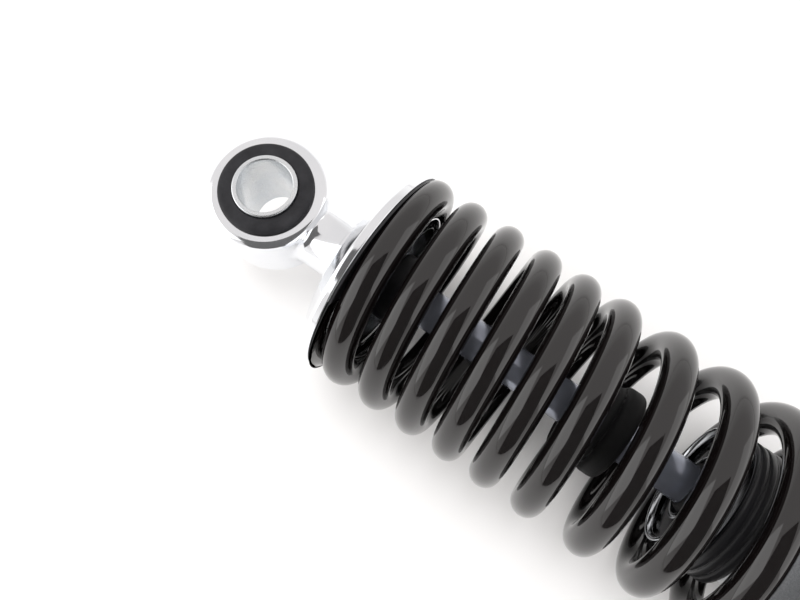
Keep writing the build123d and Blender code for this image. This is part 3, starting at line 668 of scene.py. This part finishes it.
# The snap ring's outline (x, r) goes to (x, r cos, r sin) at every angle from one side of its gap to the
# other.
gap_angle = math.radians(16)
outline = rounded(ring_outline(ring_high.x, ring_low.x, groove_radius, ring_high.y, 0.4 * mm))
around_gap = np.linspace(gap_angle / 2, 2 * np.pi - gap_angle / 2, 160)[:, None]
along = np.repeat(outline[None, :, 0], len(around_gap), axis=0)
across, up = outline[:, 1] * np.cos(around_gap), outline[:, 1] * np.sin(around_gap)
rings = np.stack([along, across, up], axis=-1)
snap_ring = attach(skin("seat_snap_ring", rings, closed=False), "damper_body")
snap_ring.data.set_sharp_from_angle(angle=math.radians(50))
dress(snap_ring, zinc_plate, "zinc_steel", "seat_stop_ring")

# ---- sealed parts inside the damper ---------------------------------------------------------
# Seal, guide, piston, valves and pressure tube stay as the CAD model has them: they are only seen with
# the damper apart, and each kind has the plain finish of its making.


def bench_finish(name, dark, light, metallic, smooth, dull, grain_size, depth):
    """A plain worked finish: a grain between two colours and two roughnesses, drawn out round the shock."""
    made, shader, place = new_material(name, Metallic=metallic)
    scale = (1 / grain_size, 0.2 / grain_size, 0.2 / grain_size)
    drawn = add(shader, "Mapping", {"Vector": place, "Scale": scale}).outputs["Vector"]
    grain = add(shader, "TexNoise", {"Vector": drawn, "Scale": 1.0, "Detail": 3.0}).outputs["Fac"]
    tint = add(shader, "Mix", {0: grain, 6: srgb(dark), 7: srgb(light)}, data_type="RGBA").outputs[2]
    rough = add(shader, "MapRange", {"Value": grain, "To Min": smooth, "To Max": dull}).outputs["Result"]
    relief = add(shader, "Bump", {"Height": grain, "Distance": depth, "Strength": 0.5}).outputs["Normal"]
    feed(shader, Base_Color=tint, Roughness=rough, Normal=relief)
    return made


# Turned and drawn steel shines in fine rings, sintered iron is dull and grainy, die-cast aluminium is pale
# and matte, bearing bronze is warm and bright, and bronze-filled PTFE is a brown, waxy plastic.
turned_steel = bench_finish("turned_steel", "8C8F94", "B9BCC1", 1.0, 0.2, 0.4, 0.3 * mm, 0.004 * mm)
sintered_iron = bench_finish("sintered_iron", "4A4A4B", "6E6E70", 1.0, 0.45, 0.7, 0.4 * mm, 0.02 * mm)
die_cast = bench_finish("die_cast_aluminium", "A4A7AB", "C6C9CC", 1.0, 0.35, 0.55, 0.8 * mm, 0.01 * mm)
bronze = bench_finish("bearing_bronze", "8F6A3C", "C08F55", 1.0, 0.3, 0.5, 0.3 * mm, 0.004 * mm)
ptfe = bench_finish("bronze_filled_ptfe", "4A3A28", "6A5540", 0.0, 0.4, 0.6, 0.3 * mm, 0.004 * mm)
inside = {
    turned_steel: ("pressure_tube", "rebound_stop_plate", "rebound_shims", "compression_shims", "piston_nut",
                   "check_disc", "foot_valve_bolt"),
    sintered_iron: ("piston", "foot_valve"),
    die_cast: ("rod_guide",),
    bronze: ("guide_bush",),
    ptfe: ("piston_band",),
    shade_darkened_rubber: ("oil_seal", "body_o_ring"),
    nylon: ("top_out_collar",),
}
for finish, members in inside.items():
    for node in members:
        nodes[node].data.materials.clear()
        nodes[node].data.materials.append(finish)

# ---- table, light and camera ----------------------------------------------------------------
# The shock lies on a white table in a bright, plain room whose walls are a little brighter than its ceiling.
# It has a window beyond each end of the shock, and a lamp overhead that doesn't show in the gloss.

bpy.context.scene.view_settings.view_transform = "Standard"

# White lacquer, sprayed and rubbed down: almost even, matte, with a faint mottle 60 mm across.
table_paint, shader, place = new_material("white_table_lacquer", Specular_IOR_Level=0.2)
mottle = add(shader, "TexNoise", {"Vector": place, "Scale": 1 / (60 * mm), "Detail": 2.0}).outputs["Fac"]
tint = add(shader, "Mix", {0: mottle, 6: srgb("F7F7F6"), 7: srgb("FBFBFB")}, data_type="RGBA").outputs[2]
rough = add(shader, "MapRange", {"Value": mottle, "To Min": 0.6, "To Max": 0.7}).outputs["Result"]
feed(shader, Base_Color=tint, Roughness=rough)
table_half = 15.0
table_z = cad_box[0].z
table = bpy.data.meshes.new("table_top")
edge = [(-table_half, -table_half, table_z), (table_half, -table_half, table_z),
        (table_half, table_half, table_z), (-table_half, table_half, table_z)]
table.from_pydata(edge, [], [(0, 1, 2, 3)])
table.materials.append(table_paint)
table_top = bpy.data.objects.new("table_top", table)
bpy.context.scene.collection.objects.link(table_top)

room = bpy.data.worlds.new("bright_room")
bpy.context.scene.world = room
room.use_nodes = True
sky = room.node_tree.nodes["Background"]
direction = add(sky, "TexCoord", {}).outputs["Generated"]
height = add(sky, "SeparateXYZ", {"Vector": direction}).outputs["Z"]
rise = add(sky, "MapRange", {"Value": height, "From Min": 0.0, "From Max": 0.35})
wall_light, ceiling_light = (1.2, 1.18, 1.16, 1), (0.92, 0.89, 0.88, 1)
room_light = add(sky, "Mix", {0: rise.outputs["Result"], 6: wall_light, 7: ceiling_light}, data_type="RGBA")
feed(sky, Color=room_light.outputs[2])

middle = Vector((0.11, 0.0, 0.0))  # what the lights and the screen are turned to


def facing(made, towards, distance):
    """Puts an object at a distance from the shock, its -Z side turned to the shock, unseen by the camera."""
    bpy.context.scene.collection.objects.link(made)
    made.location = middle + Vector(towards).normalized() * distance
    made.rotation_euler = (middle - made.location).to_track_quat("-Z", "Y").to_euler()
    made.visible_camera = False


def window(name, towards, distance, width, height, radiance, in_reflections=True):
    """A soft rectangle of light aimed at the shock; its power is pi times its area times its radiance."""
    lamp = bpy.data.lights.new(name, "AREA")
    lamp.shape = "RECTANGLE"
    lamp.size, lamp.size_y = width, height
    lamp.energy = math.pi * width * height * radiance
    lit = bpy.data.objects.new(name, lamp)
    facing(lit, towards, distance)
    lit.visible_glossy = in_reflections


window("left_window", (-0.73, -0.51, 0.45), distance=1.2, width=1.25, height=1.15, radiance=1.0)
window("right_window", (0.85, 0.28, 0.44), distance=1.2, width=1.5, height=0.95, radiance=0.65)
window("ceiling_lamp", (-0.1, 0.1, 1.0), distance=1.6, width=1.0, height=1.0, radiance=3.2,
       in_reflections=False)

# A tall screen of dark grey felt, matte and even, hangs over the near side and shows only in reflections: it
# gives each turn of the spring its dark side.
screen_cloth = new_material("grey_felt", Base_Color=srgb("565656"))[0]
screen_half_width, screen_half_height = 0.8, 1.33
felt = bpy.data.meshes.new("dark_screen")
felt.from_pydata([(-screen_half_width, -screen_half_height, 0), (screen_half_width, -screen_half_height, 0),
                  (screen_half_width, screen_half_height, 0), (-screen_half_width, screen_half_height, 0)],
                 [], [(0, 3, 2, 1)])
felt.materials.append(screen_cloth)
screen = bpy.data.objects.new("dark_screen", felt)
facing(screen, (0.30, -0.62, 0.72), 1.2)
screen.visible_diffuse = False
screen.visible_shadow = False

# The camera hangs over the upper half of the shock and looks down, nearly along the eye's bore.
lens = bpy.data.cameras.new("camera")
lens.sensor_width = 36
lens.lens = 31.5
camera_place = (0.0806, -0.0416, 0.1972)
looking = Vector((-0.1575, 0.1920, -0.9687)).normalized()
rightwards = looking.cross(Vector((-0.5556, 0.7938, 0.2476))).normalized()
upwards = rightwards.cross(looking)
aim = Matrix((rightwards, upwards, -looking)).transposed()
camera = bpy.data.objects.new("camera", lens)
bpy.context.scene.collection.objects.link(camera)
camera.matrix_world = Matrix.Translation(camera_place) @ aim.to_4x4()
bpy.context.scene.camera = camera
